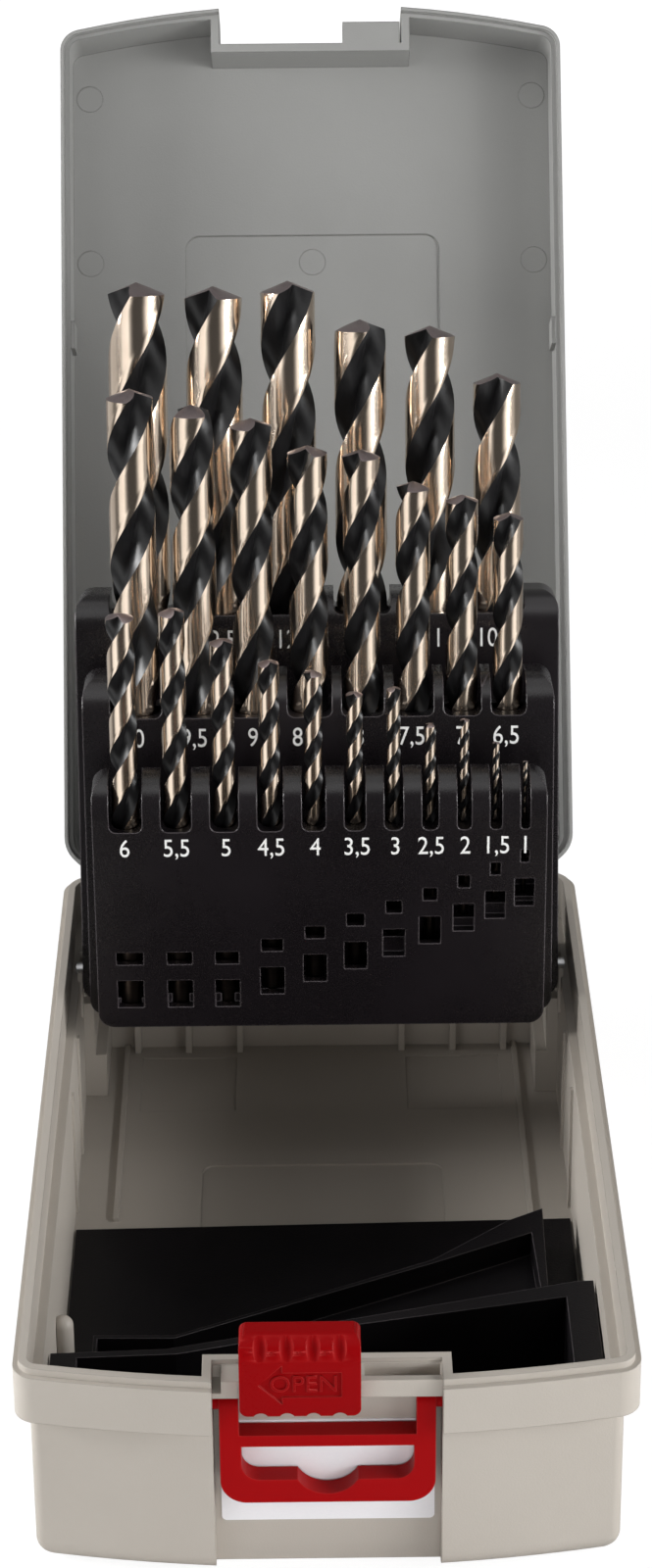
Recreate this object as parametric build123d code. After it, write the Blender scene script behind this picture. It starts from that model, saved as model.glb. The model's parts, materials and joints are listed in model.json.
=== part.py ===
from build123d import *
import math
import os

os.makedirs("parts", exist_ok=True)

# A hinged plastic case that presents twenty-five twist drills on three racks, which rise with the lid.
# All sizes are in millimetres. X runs to the right, Y from the front to the hinge, Z up from the table.
# The origin is the middle of the case's underside.

# Joins: how far a form reaches into what it grows from, and how far a cut runs through
bite = 0.5
through = 60.0

# Case
case_width = 116.8
case_length = 195.4
front_bow = 6.5
front_corner = 5.0
rear_corner = 7.0
parting_height = 44.5
rim_height = 10.0
wall = 1.8
floor = 2.6
wall_inset = 2.9
rear_step = 1.2
foot_radius = 5.0
least_radius = 0.8
lip_inset = 1.1
lip_thickness = 1.7
lip_height = 1.5
lip_relief = 0.8

# Notch in the front that holds the latch, the hanger and the label
notch_width = 42.6
notch_setback = 2.4
rail_depth = 5.8
rail_drop = 3.1
rail_height = 3.8
rail_pocket = 2.6
rail_end_gap = 1.7
rail_lip_front = 1.4
rail_lip_back = 0.6
keeper_width = 13.3
keeper_right = 20.9
keeper_reach = 5.0
keeper_height = 5.4
keeper_play = 0.7

# Lid
lid_depth = 17.5
lid_wall = 2.0
lid_top = 2.0
lid_edge_radius = 4.5
skirt_clearance = 0.2
parting_gap = 0.2
open_angle = 121.3
lid_panel = (60.0, 116.0, 3.5)
lid_panel_y = 5.2
panel_depth = 0.5
snap_length = 6.5
snap_y = -26.8
snap_reach = 0.9
snap_height = 9.0
snap_gap = 0.5

# Case hinge
hinge_rise = 1.85
hinge_outset = 0.35
knuckle_radius = 2.3
hinge_pin_radius = 1.0
knuckle_length = 9.0
knuckle_inset = 27.4
running_gap = 0.05
side_gap = 0.3
gusset_foot = 3.0

# Racks: they share one pivot and each nests in the next
pivot_setback = 28.5
pivot_drop = 8.5
rack_wall = 1.8
arm_thickness = 2.0
arm_gap = 0.4
arm_rise = 16.0
neck_gap = 2.0
pivot_boss = 4.0
pivot_pin_radius = 2.0
pin_seat = 1.0
pin_inset = 0.3
rack_side_gap = 0.8
shoulder_radius = 8.0
rack_corner = 3.5
slot_extra = 1.0
slot_corner = 1.6
pocket_gap = 0.3
seat_gap = 0.1
guide_thickness = 3.0
seat_cup = 3.0
arm_bite = 2.0

# Each drill: diameter, overall length, flute length, height of its seat above the pivot
small_drills = [
    (6, 93, 57, 7), (5.5, 93, 57, 8), (5, 86, 52, 8), (4.5, 80, 47, 9),
    (4, 75, 43, 11.5), (3.5, 70, 39, 11.5), (3, 61, 33, 21.5), (2.5, 57, 30, 17),
    (2, 49, 24, 26), (1.5, 40, 18, 29.5), (1, 34, 12, 31),
]
medium_drills = [
    (10, 133, 87, 3.5), (9.5, 125, 81, 8), (9, 125, 81, 5), (8.5, 117, 75, 7),
    (8, 117, 75, 6), (7.5, 109, 69, 7), (7, 109, 69, 4), (6.5, 101, 63, 8),
]
large_drills = [
    (13, 151, 101, 2.5), (12.5, 151, 101, 1.5), (12, 151, 101, 2.5),
    (11.5, 142, 94, 3), (11, 142, 94, 1.5), (10.5, 133, 87, 0),
]

# Each rack: drills, lean when open, distance of its face from the pivot, thickness, foot, height,
# room outside its drills, height of the slots' rounded bottoms above the pivot
racks = {
    "small": (small_drills, 0.0, 32.0, 9.5, 4.0, 58.0, 4.1, 51.3),
    "medium": (medium_drills, 8.0, 21.5, 13.5, -2.0, 75.5, 6.5, 66.1),
    "large": (large_drills, 15.0, 7.0, 16.5, -4.9, 90.5, 7.9, 81.4),
}
window_foot = 8.9
window_start = 5.0
window_climb = 6.0
# Each window: height, width for a drill of no thickness, growth of the width with the drill
window_sizes = ((6.6, 3.9, 0.28), (3.0, 1.0, 0.8))
window_gap = 3.9

# Drill form
helix_angle = 32.0
point_angle = 135.0
web_share = 0.2
# Corners of a flute: share of its half width from its middle, and reach as a share of the web
flute_corners = ((-0.3, 1.5), (0.35, 1.1))
land_angle = 76.0
flute_step = 50.0
flute_relief = 0.02
first_turn = 87.0
turn_step = 67.0

# Latch
latch_width = 22.4
latch_left = -16.2
latch_skirt = 2.3
latch_rise = 9.5
latch_round = 5.0
latch_wall = 2.2
latch_gap = 0.3
latch_travel = 10.0
latch_hook_width = 17.2
latch_corner = 1.6
hook_setback = 1.8
latch_tooth = 1.8
tooth_rise = 1.3
latch_back_gap = 0.5
grip_count = 4
grip_margin = 3.9
grip_radius = 1.6
grip_depth = 0.7
grip_skin = 0.1

# Hanger
hanger_width = 40.2
hanger_front = 4.8
hanger_thickness = 4.1
hanger_drop = 2.7
hanger_reach = 21.8
hanger_arm = 3.6
hanger_window = 6.5
hanger_pin_radius = 1.5
hanger_pin_reach = 1.2
slot_top = 9.0
slot_height = 7.6
slot_length = 32.2
slot_end = 3.4
slot_notch_radius = 6.5
slot_notch_drop = 13.4
hanger_corner = 5.0

# Label
label_width = 40.2
label_low = 9.5
label_drop = 8.9
label_thickness = 0.3
label_corner = 1.0

# Stop that keeps the drills in place when the case is shut
stop_gap = 0.4
stop_plate = 1.0
stop_depth_left = 111.0
stop_depth_right = 113.6
stop_step_low = 13.6
stop_step_high = 29.0
stop_rim = 1.8
stop_well_floor = 10.0
stop_tray_floor = 8.0
# Outlines of the steps and of their hollows: across, and back from the middle of the case's front
low_step = [(-46.8, 57.2), (-30.4, 56.9), (22.5, 83.1), (39.0, 97.7), (46.4, 102.1), (45.6, 60.0)]
low_hollow = [(-46.0, 56.2), (-30.6, 55.9), (22.7, 82.0), (43.6, 93.0), (44.7, 60.0)]
high_step = [(-56.0, 29.1), (-31.0, 30.3), (5.7, 39.9), (50.0, 52.0), (56.0, 52.3)]
high_hollow = [(-48.2, 27.7), (-29.0, 28.6), (5.8, 37.8), (47.6, 46.6)]

# Ribs, posts and guides inside the tub
rib_width = 1.5
rib_foot = 2.9
rib_head = 1.2
rib_drop = 6.0
rib_places = (18.8, 30.7, 42.5)
corner_post_setback = 1.0
corner_post_gap = 0.7
outer_post_gap = 0.3
post_height = 13.5
tall_post_height = 27.0
guide_depth = 0.6
guide_width = 1.4
pivot_guide_gap = 0.8
pivot_guide_rise = 4.0
wall_guides = (47.2, 23.2)
wall_guide_drop = 2.0
bead_inset = 8.7
bead_width = 1.2
bead_height = 0.8
bead_gap = 2.0
floor_panel = (53.0, 61.0, 3.0)
floor_panel_y = 9.8
pad_width = 21.6
pad_length = 23.6
pad_x = 30.4
pad_y = 75.0
pad_depth = 0.3
post_radius = 2.1
post_inset = 1.3
post_depth = 51.7
post_top = 20.0

# Derived places
front_y = -case_length / 2
rear_y = case_length / 2
bow_radius = ((case_width / 2) ** 2 + front_bow ** 2) / (2 * front_bow)
bow_centre = front_y - front_bow + bow_radius
notch_y = front_y + notch_setback
rim_low = parting_height - rim_height
lip_top = parting_height + lip_height
hinge_y = rear_y + hinge_outset
hinge_z = parting_height + hinge_rise
inner_half = case_width / 2 - wall_inset - wall
inner_rear = rear_y - rear_step - wall_inset - wall
rail_low = parting_height - rail_drop
rail_high = rail_low + rail_height
rail_front = notch_y - rail_depth
hook_front = rail_front + hook_setback
hook_back = hook_front + latch_tooth
latch_low = rail_low - latch_skirt
latch_high = rail_high + latch_rise
hanger_pivot_y = notch_y - hanger_front + hanger_thickness / 2
hanger_pivot_z = rail_low - hanger_drop
label_high = rail_low - label_drop
knuckle_spread = case_width - 2 * knuckle_inset
pivot_y = rear_y - pivot_setback
pivot_z = parting_height - pivot_drop
small_rack_width = 2 * (inner_half - rack_side_gap - 2 * (arm_thickness + arm_gap))
post_x = -(inner_half - post_inset)
post_y = front_y + post_depth
plate_top = floor + stop_plate


def block(x0, x1, y0, y1, z0, z1):
    """A box between two opposite corners."""
    size = Box(x1 - x0, y1 - y0, z1 - z0)
    return Pos((x0 + x1) / 2, (y0 + y1) / 2, (z0 + z1) / 2) * size


def both_sides(x0, x1, y0, y1, z0, z1):
    """A box and its mirror image across the middle of the case."""
    return block(x0, x1, y0, y1, z0, z1) + block(-x1, -x0, y0, y1, z0, z1)


def rod_x(x0, x1, y, z, radius):
    """A round bar along X."""
    return Pos((x0 + x1) / 2, y, z) * Rot(0, 90, 0) * Cylinder(radius, x1 - x0)


def outline(inset, rear_extra=0.0):
    """The case seen from above with its bowed front, drawn in by inset."""
    rear = rear_y - inset - rear_extra
    front = front_y - front_bow - 1
    straight = Pos(0, (rear + front) / 2) * Rectangle(case_width - 2 * inset, rear - front)
    shape = straight & Pos(0, bow_centre) * Circle(bow_radius - inset)
    rows = shape.vertices().group_by(Axis.Y)
    shape = fillet(rows[0], max(front_corner - inset, least_radius))
    return fillet(shape.vertices().group_by(Axis.Y)[-1], max(rear_corner - inset, least_radius))


def slab(sketch, low, high):
    """A sketch raised between two heights."""
    return extrude(Pos(0, 0, low) * sketch, high - low)


def notch(growth, low, high):
    """The space of the front notch, wider and deeper by growth."""
    half = notch_width / 2 + growth
    return block(-half, half, front_y - front_bow - 5, notch_y + growth, low, high)


def hinge_knuckles(owner):
    """The x ranges of one owner's knuckles: the case has the middle one of each three."""
    ranges = []
    for side in (-1, 1):
        centre = side * knuckle_spread / 2
        half = knuckle_length / 2
        if owner == "case":
            ranges.append((centre - half, centre + half))
        else:
            ranges.append((centre - half - side_gap - knuckle_length, centre - half - side_gap))
            ranges.append((centre + half + side_gap, centre + half + side_gap + knuckle_length))
    return ranges


def knuckle_clearance(owner):
    """The space that one owner's knuckles turn in."""
    space = Part()
    for x0, x1 in hinge_knuckles(owner):
        space += rod_x(x0 - side_gap, x1 + side_gap, hinge_y, hinge_z, knuckle_radius + side_gap)
    return space


def case_gusset(x0, x1):
    """The web that carries a knuckle on the back of the rim."""
    back = hinge_y + knuckle_radius
    foot = rim_low + gusset_foot
    edge = Polyline((rear_y - 1, foot), (rear_y, foot), (back, hinge_z), (rear_y - 1, hinge_z), close=True)
    face = make_face(Plane.YZ * edge)
    return Pos(x0, 0, 0) * extrude(face, x1 - x0, dir=(1, 0, 0))


def base_shell():
    """The tub with its stepped-out rim, lip and front notch."""
    tub = slab(outline(wall_inset, rear_step), 0, rim_low + 1)
    tub = fillet(tub.faces().sort_by(Axis.Z)[0].edges(), foot_radius)
    rim = slab(outline(0), rim_low, parting_height)
    lip = slab(outline(lip_inset, lip_relief), parting_height - 1, lip_top)
    shell = tub + rim + lip - notch(0, -1, lip_top + 1)
    hollow = slab(outline(wall_inset + wall, rear_step), floor, rim_low + 2 * wall)
    hollow += slab(outline(lip_inset + lip_thickness, lip_relief), rim_low + wall, lip_top + 1)
    hollow -= notch(wall, 0, lip_top + 2)
    return shell - hollow


def rail():
    """The ledge across the notch that the latch runs on, with the keeper's pocket and its groove."""
    half = notch_width / 2
    back = notch_y - rail_lip_back
    pocket_low = rail_high - rail_pocket
    bar = block(-half - bite, half + bite, rail_front, notch_y + bite, rail_low, rail_high)
    keeper_left = keeper_right - keeper_width - keeper_play
    pocket = block(keeper_left, keeper_right, rail_front + rail_lip_front, back, pocket_low, rail_high + 1)
    pocket += block(-half - bite, -half + rail_end_gap, rail_front - 1, back, pocket_low, rail_high + 1)
    tooth_left = latch_left - latch_gap
    tooth_right = latch_left + latch_hook_width + latch_travel + latch_gap
    groove = block(tooth_left, tooth_right, hook_front - latch_gap, hook_back + latch_gap, rail_low - 1,
                   rail_low + tooth_rise)
    return bar - pocket - groove


def base_ribs():
    """Ribs, corner posts and pivot guides that stiffen the tub and locate the racks."""
    ribs = Part()
    for x in rib_places:
        profile = Polyline(
            (inner_rear + bite, floor - bite), (inner_rear - rib_foot, floor - bite),
            (inner_rear - rib_head, rim_low - rib_drop), (inner_rear + bite, rim_low - rib_drop), close=True
        )
        web = extrude(make_face(Plane.YZ * profile), rib_width, dir=(1, 0, 0))
        ribs += Pos(x - rib_width / 2, 0, 0) * web
        ribs += Pos(-x - rib_width / 2, 0, 0) * web
    post_front = pivot_y + corner_post_setback
    low_post = small_rack_width / 2 + corner_post_gap
    tall_post = small_rack_width / 2 + arm_thickness + 2 * arm_gap + outer_post_gap
    for inner, height in ((low_post, post_height), (tall_post, tall_post_height)):
        ribs += both_sides(inner, inner_half + bite, post_front, inner_rear + bite, floor - bite, height)
    guides = [(pivot_y - setback, floor, rim_low - wall_guide_drop) for setback in wall_guides]
    for setback in (pivot_boss + pivot_guide_gap, -pivot_boss - pivot_guide_gap):
        guides.append((pivot_y - setback, tall_post_height, rim_low + pivot_guide_rise))
    for y, low, high in guides:
        ribs += both_sides(inner_half - guide_depth, inner_half + bite, y - guide_width / 2,
                           y + guide_width / 2, low, high)
    bead = inner_half - bead_inset
    ribs += both_sides(bead - bead_width / 2, bead + bead_width / 2, front_y + stop_depth_right + bead_gap,
                       inner_rear, floor - bite, floor + bead_height)
    return ribs


def stop_post():
    """The round-topped post on the left wall beside the drill stop."""
    post = Pos(0, 0, (floor + post_top) / 2) * Cylinder(post_radius, post_top - floor)
    return Pos(post_x, post_y, 0) * (post + Pos(0, 0, post_top) * Sphere(post_radius))


def base_tray():
    """The lower half of the case."""
    tray = base_shell() + rail() + base_ribs() + stop_post()
    for x0, x1 in hinge_knuckles("case"):
        tray += rod_x(x0, x1, hinge_y, hinge_z, knuckle_radius) + case_gusset(x0, x1)
    tray -= knuckle_clearance("lid")
    for x0, x1 in hinge_knuckles("case"):
        tray -= rod_x(x0 - 1, x1 + 1, hinge_y, hinge_z, hinge_pin_radius)
    pin_end = inner_half + pin_seat
    for side in (-1, 1):
        tray -= rod_x(min(0, side * pin_end), max(0, side * pin_end), pivot_y, pivot_z, pivot_pin_radius)
        hanger_end = side * (notch_width / 2 + wall)
        tray -= rod_x(min(0, hanger_end), max(0, hanger_end), hanger_pivot_y, hanger_pivot_z,
                      hanger_pin_radius + running_gap)
    tray -= slab(Pos(0, floor_panel_y) * RectangleRounded(*floor_panel), floor - panel_depth, floor + 0.1)
    for x in (-pad_x, pad_x):
        tray -= slab(Pos(x, pad_y) * Rectangle(pad_width, pad_length), floor - pad_depth, floor + 0.1)
    return tray


def lid():
    """The upper half of the case, modelled shut."""
    low = parting_height + parting_gap
    high = parting_height + lid_depth
    shell = slab(outline(0), low, high)
    shell = fillet(shell.faces().sort_by(Axis.Z)[-1].edges(), lid_edge_radius)
    hollow = slab(outline(lid_wall), low - 1, high - lid_top) - notch(lid_wall, low - 2, high)
    skirt = slab(outline(lip_inset - skirt_clearance), low - 1, lip_top + skirt_clearance)
    shell = shell - hollow - skirt - notch(0, low - 1, high + 1)
    keeper_low = lip_top + skirt_clearance
    shell += block(keeper_right - keeper_width, keeper_right, notch_y - keeper_reach, notch_y + bite,
                   keeper_low, keeper_low + keeper_height)
    shell -= knuckle_clearance("case")
    for x0, x1 in hinge_knuckles("lid"):
        shell += rod_x(x0, x1, hinge_y, hinge_z, knuckle_radius)
    for x0, x1 in hinge_knuckles("lid"):
        shell -= rod_x(x0 - 1, x1 + 1, hinge_y, hinge_z, hinge_pin_radius + running_gap)
    panel = Pos(0, lid_panel_y) * RectangleRounded(*lid_panel)
    shell -= slab(panel, high - lid_top - 0.1, high - lid_top + panel_depth)
    snap = case_width / 2 - lid_wall
    snap_low = keeper_low + snap_gap
    shell += both_sides(snap - snap_reach, snap + bite, snap_y - snap_length / 2, snap_y + snap_length / 2,
                        snap_low, snap_low + snap_height)
    return shell


def tilt(shape, angle, y, z):
    """A shape leant back by an angle about a line along X."""
    return Pos(0, y, z) * Rot(-angle, 0, 0) * Pos(0, -y, -z) * shape


def drill_places(name):
    """The x of each of a rack's drills, left to right, with equal gaps between them."""
    drills, margin = racks[name][0], racks[name][6]
    span = rack_width(name) - 2 * margin
    gap = (span - sum(drill[0] for drill in drills)) / (len(drills) - 1)
    places = []
    left = -span / 2
    for drill in drills:
        places.append(left + drill[0] / 2)
        left += drill[0] + gap
    return places


def rack_width(name):
    """Each rack is wider than the one before by its arms and their gaps."""
    return small_rack_width + 2 * list(racks).index(name) * (arm_thickness + arm_gap)


def rack_block(width, face, thickness, foot, height):
    """A rack's outer form with its rounded shoulder and corners."""
    front, back = -face, -face + thickness
    side = Pos((front + back) / 2, foot + height / 2) * Rectangle(thickness, height)
    shoulder = side.vertices().group_by(Axis.Y)[-1].sort_by(Axis.X)[0]
    side = fillet(shoulder, shoulder_radius)
    body = Pos(-width / 2, 0, 0) * extrude(Plane.YZ * side, width, dir=(1, 0, 0))
    shape = Pos(0, foot + height / 2) * RectangleRounded(width, height, rack_corner)
    return body & extrude(Plane.XZ * shape, through, both=True)


def rack(name):
    """One drill rack, upright, with the pivot at the origin and its face towards -Y."""
    drills, lean, face, thickness, foot, height, margin, slot_foot = racks[name]
    width = rack_width(name)
    half = width / 2
    back = -face + thickness
    core = small_rack_width / 2 - arm_thickness - arm_gap
    neck = arm_rise + neck_gap
    axis_y = -face + thickness / 2
    top = foot + height
    places = drill_places(name)
    body = rack_block(width, face, thickness, foot, height)
    hollow_half = half - rack_wall if name == "small" else core - rack_wall
    body -= block(-hollow_half, hollow_half, -face + rack_wall, back - rack_wall, foot + rack_wall,
                  slot_foot - guide_thickness)
    if name != "small":
        body -= both_sides(core, half - arm_thickness, -face - 1, back + 1, foot - 1, neck)
    steps = [-hollow_half] + [(a + b) / 2 for a, b in zip(places, places[1:])] + [hollow_half]
    for drill, step, next_step in zip(drills, steps, steps[1:]):
        body += block(step, next_step, -face + rack_wall / 2, back - rack_wall / 2, foot + rack_wall / 2,
                      drill[3] + seat_cup)
    for (diameter, _, _, seat), x in zip(drills, places):
        bore = top + 1 - seat
        body -= Pos(x, axis_y, seat + bore / 2) * Cylinder(diameter / 2 + pocket_gap, bore)
        slot_width = diameter + slot_extra
        slot_rise = height + foot - slot_foot + 2 * slot_corner
        slot = RectangleRounded(slot_width, slot_rise, min(slot_corner, 0.4 * slot_width))
        body -= extrude(Plane.XZ * (Pos(x, slot_foot + slot_rise / 2) * slot), through, both=True)
    if name == "small":
        body -= windows(drills, places, face)
    for x0 in (-half, half - arm_thickness):
        body += arm(x0, face, thickness, foot)
        body -= rod_x(x0 - 1, x0 + arm_thickness + 1, 0, 0, pivot_pin_radius + running_gap)
    return body


def arm(x0, face, thickness, foot):
    """A side plate that joins a rack to its pivot."""
    back = -face + thickness
    root = back - arm_bite
    near = max(foot, -pivot_boss)
    edge = Polyline((root, near), (root, arm_rise), (0, pivot_boss), (0, -pivot_boss), close=True)
    profile = make_face(edge)
    if back > pivot_boss:
        profile = Pos(-pivot_boss / 2, 0) * Rectangle(pivot_boss, 2 * pivot_boss)
    profile += Circle(pivot_boss)
    return Pos(x0, 0, 0) * extrude(Plane.YZ * profile, arm_thickness, dir=(1, 0, 0))


def windows(drills, places, face):
    """Two openings in the small rack's face in front of each shank, higher for a short drill."""
    space = Part()
    for drill, x in zip(drills, places):
        low = window_foot + max(0, window_start - drill[0]) * window_climb
        for height, least, growth in window_sizes:
            half = (least + growth * drill[0]) / 2
            space += block(x - half, x + half, -face - 1, -face + rack_wall + bite, low, low + height)
            low += height + window_gap
    return space


def drill_section(radius):
    """Corners of a two-fluted section as angles and radii, half a turn's worth."""
    land = math.radians(land_angle / 2)
    hollow = math.radians(90 - land_angle / 2)
    web = radius * web_share
    flute = [(math.pi / 2 + share * hollow, reach * web) for share, reach in flute_corners]
    return [(-land, radius), (land, radius)] + flute


def drill_flutes(radius, low, high):
    """The twisted, faceted fluted length with its conical point, as a closed solid."""
    lead = 2 * math.pi * radius / math.tan(math.radians(helix_angle))
    slope = 1 / math.tan(math.radians(point_angle / 2))
    turns = (high - low) / lead
    stations = max(3, round(turns * 360 / flute_step))
    corners = drill_section(radius)
    corners = corners + [(angle + math.pi, reach) for angle, reach in corners]
    rings = []
    for station in range(stations + 1):
        share = station / stations
        twist = 2 * math.pi * turns * share
        ring = []
        for angle, reach in corners:
            drop = reach * slope if station == stations else 0
            z = low + (high - low) * share - drop
            ring.append(Vector(reach * math.cos(angle + twist), reach * math.sin(angle + twist), z))
        rings.append(ring)
    count = len(corners)
    tip = Vector(0, 0, high)
    faces = [Face(Wire.make_polygon(rings[0][::-1]))]
    for i in range(count):
        j = (i + 1) % count
        for lower, upper in zip(rings, rings[1:]):
            faces.append(Face(Wire.make_polygon([lower[i], lower[j], upper[j]])))
            faces.append(Face(Wire.make_polygon([lower[i], upper[j], upper[i]])))
        faces.append(Face(Wire.make_polygon([rings[-1][i], rings[-1][j], tip])))
    return Solid(Shell(faces))


def drill(diameter, length, flute, turn):
    """A twist drill standing on the end of its shank."""
    radius = diameter / 2
    shank = Pos(0, 0, (length - flute) / 2) * Cylinder(radius, length - flute)
    return Rot(0, 0, turn) * (shank + drill_flutes(radius - flute_relief, length - flute, length))


def latch():
    """The sliding hook, in its open place at the left."""
    face = rail_front - latch_gap - latch_wall
    back = notch_y - latch_back_gap
    height = latch_high - latch_low
    middle = latch_low + height / 2
    side = Pos((face + back) / 2, middle) * Rectangle(back - face, height)
    side = fillet(side.vertices().group_by(Axis.Y)[-1].sort_by(Axis.X)[0], latch_round)
    inside_low, inside_high = rail_low - latch_gap, latch_high - latch_wall
    inside = Pos((face + latch_wall + back + 1) / 2, (inside_low + inside_high) / 2) * Rectangle(
        back + 1 - face - latch_wall, inside_high - inside_low)
    side -= fillet(inside.vertices().group_by(Axis.Y)[-1].sort_by(Axis.X)[0], latch_round - latch_wall)
    body = Pos(latch_left, 0, 0) * extrude(Plane.YZ * side, latch_width, dir=(1, 0, 0))
    front = Pos(latch_left + latch_width / 2, middle) * RectangleRounded(latch_width, height, latch_corner)
    body &= extrude(Plane.XZ * front, case_length, both=True)
    hook_right = latch_left + latch_hook_width
    latch_right = latch_left + latch_width
    body -= block(hook_right, latch_right + 1, face + latch_wall, back + 1, latch_low - 1, rail_low)
    body -= block(latch_left - 1, hook_right + 1, hook_back, back + 1, latch_low - 1, rail_low)
    body += block(latch_left + latch_corner, hook_right, hook_front, hook_back, latch_low,
                  rail_low - latch_gap + tooth_rise)
    out = (latch_round + grip_radius - grip_depth) / math.sqrt(2)
    pitch = (latch_width - 2 * grip_margin) / (grip_count - 1)
    top_grip = Rot(-45, 0, 0) * Cylinder(grip_radius, 3 * latch_round)
    low_grip = Rot(90, 0, 0) * Cylinder(grip_radius, 2 * (latch_wall - grip_skin))
    for number in range(grip_count):
        x = latch_left + grip_margin + pitch * number
        body -= Pos(x, face + latch_round - out, latch_high - latch_round + out) * top_grip
        body -= Pos(x, face, latch_low - grip_radius + grip_depth) * low_grip
    return body


def hanger():
    """The hinged bail with a slotted plate, hanging in front of the label."""
    half = hanger_width / 2
    top = hanger_pivot_z + hanger_thickness / 2
    low = hanger_pivot_z - hanger_reach
    plate = Pos(0, (low + top) / 2) * Rectangle(hanger_width, top - low)
    plate = fillet(plate.vertices().group_by(Axis.Y)[0], hanger_corner)
    window_low = hanger_pivot_z - hanger_window
    window = Rectangle(hanger_width - 2 * hanger_arm, top + 1 - window_low)
    plate -= Pos(0, (window_low + top + 1) / 2) * window
    slot_middle = hanger_pivot_z - slot_top - slot_height / 2
    slot = Pos(0, slot_middle) * Rectangle(slot_length, slot_height)
    slot = fillet(slot.vertices().group_by(Axis.Y)[0], slot_end)
    bulge = Pos(0, hanger_pivot_z - slot_notch_drop) * Circle(slot_notch_radius)
    bulge &= Pos(0, slot_middle - slot_height) * Rectangle(slot_length, 2 * slot_height)
    plate -= slot + bulge
    middle = hanger_pivot_y
    body = Pos(0, middle - hanger_thickness / 2, 0) * extrude(Plane.XZ * plate, -hanger_thickness)
    eye = Pos(middle, hanger_pivot_z) * Circle(hanger_thickness / 2)
    drop = hanger_pivot_z - low + 1
    eye += Pos(middle, hanger_pivot_z - drop / 2) * Rectangle(hanger_thickness, drop)
    body &= Pos(-half - 1, 0, 0) * extrude(Plane.YZ * eye, hanger_width + 2, dir=(1, 0, 0))
    pin_end = notch_width / 2 + hanger_pin_reach
    for side in (-1, 1):
        body += rod_x(min(side * (half - 1), side * pin_end), max(side * (half - 1), side * pin_end),
                      hanger_pivot_y, hanger_pivot_z, hanger_pin_radius)
    return body


def label_plate():
    """The plain label on the wall of the notch."""
    shape = RectangleRounded(label_width, label_high - label_low, label_corner)
    plate = Pos(0, (label_low + label_high) / 2) * shape
    return Pos(0, notch_y - label_thickness, 0) * extrude(Plane.XZ * plate, -label_thickness)


def stop_area(edge, low, high):
    """All that lies in front of a line across the case, between two heights."""
    front = front_y - front_bow - 2
    points = [(x, front_y + depth) for x, depth in edge]
    corners = [(points[0][0], front)] + points + [(points[-1][0], front)]
    return slab(make_face(Polyline(*corners, close=True)), low, high)


def stop_room(rim, low, high):
    """The space inside the front of the tub, drawn in by a rim."""
    grown = wall + stop_gap + rim
    return slab(outline(wall_inset + grown, rear_step), low, high) - notch(grown, low - 1, high + 1)


def bit_stop():
    """The stepped insert in front of the drills' points."""
    rear = [(-case_width / 2, stop_depth_left), (case_width / 2, stop_depth_right)]
    body = stop_area(rear, floor, plate_top)
    body += stop_area(low_step, plate_top - bite, stop_step_low)
    body -= stop_area(low_hollow, stop_tray_floor, stop_step_low + 1)
    body += stop_area(high_step, plate_top - bite, stop_step_high)
    body &= stop_room(0, floor, stop_step_high)
    body -= stop_area(high_hollow, stop_well_floor, stop_step_high + 1) & stop_room(
        stop_rim, stop_well_floor, stop_step_high + 1)
    room = post_radius + stop_gap
    return body - block(-case_width, post_x + room, post_y - room, post_y + room, 0, stop_step_high + 1)


def hinge_pins():
    """The case's two hinge pins, left and right."""
    reach = knuckle_length * 1.5 + side_gap
    return [rod_x(side * knuckle_spread / 2 - reach, side * knuckle_spread / 2 + reach, hinge_y, hinge_z,
                  hinge_pin_radius) for side in (-1, 1)]


def rack_pins():
    """The two pins in the side walls that all three racks turn on."""
    inner = small_rack_width / 2 - arm_thickness - pin_inset
    outer = inner_half + pin_seat
    return [rod_x(min(side * inner, side * outer), max(side * inner, side * outer), pivot_y, pivot_z,
                  pivot_pin_radius) for side in (-1, 1)]


def drill_name(diameter):
    """A drill's node name, such as drill_06_5."""
    whole, tenths = divmod(round(diameter * 10), 10)
    return f"drill_{whole:02d}_{tenths}"


nodes = {
    "base_tray": base_tray(),
    "lid": tilt(lid(), open_angle, hinge_y, hinge_z),
    "latch_slider": latch(),
    "hanger_bail": hanger(),
    "label_plate": label_plate(),
    "bit_stop": bit_stop(),
}
nodes["hinge_pin_left"], nodes["hinge_pin_right"] = hinge_pins()
nodes["rack_pin_left"], nodes["rack_pin_right"] = rack_pins()
turn = first_turn
for name, (drills, lean, face, thickness, foot, height, margin, slot_foot) in racks.items():
    place = Pos(0, pivot_y, pivot_z) * Rot(-lean, 0, 0)
    nodes[f"rack_{name}"] = place * rack(name)
    for (diameter, length, flute, seat), x in zip(drills, drill_places(name)):
        seated = Pos(x, -face + thickness / 2, seat + seat_gap) * drill(diameter, length, flute, turn)
        nodes[drill_name(diameter)] = place * seated
        turn += turn_step

for name, shape in nodes.items():
    shape.label = name
    export_step(shape, f"parts/{name}.step")
    print(name, round(shape.volume, 1), shape.is_valid)
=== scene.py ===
import json
import math

import bmesh
import bpy
from mathutils import Euler, Matrix, Vector


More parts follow.
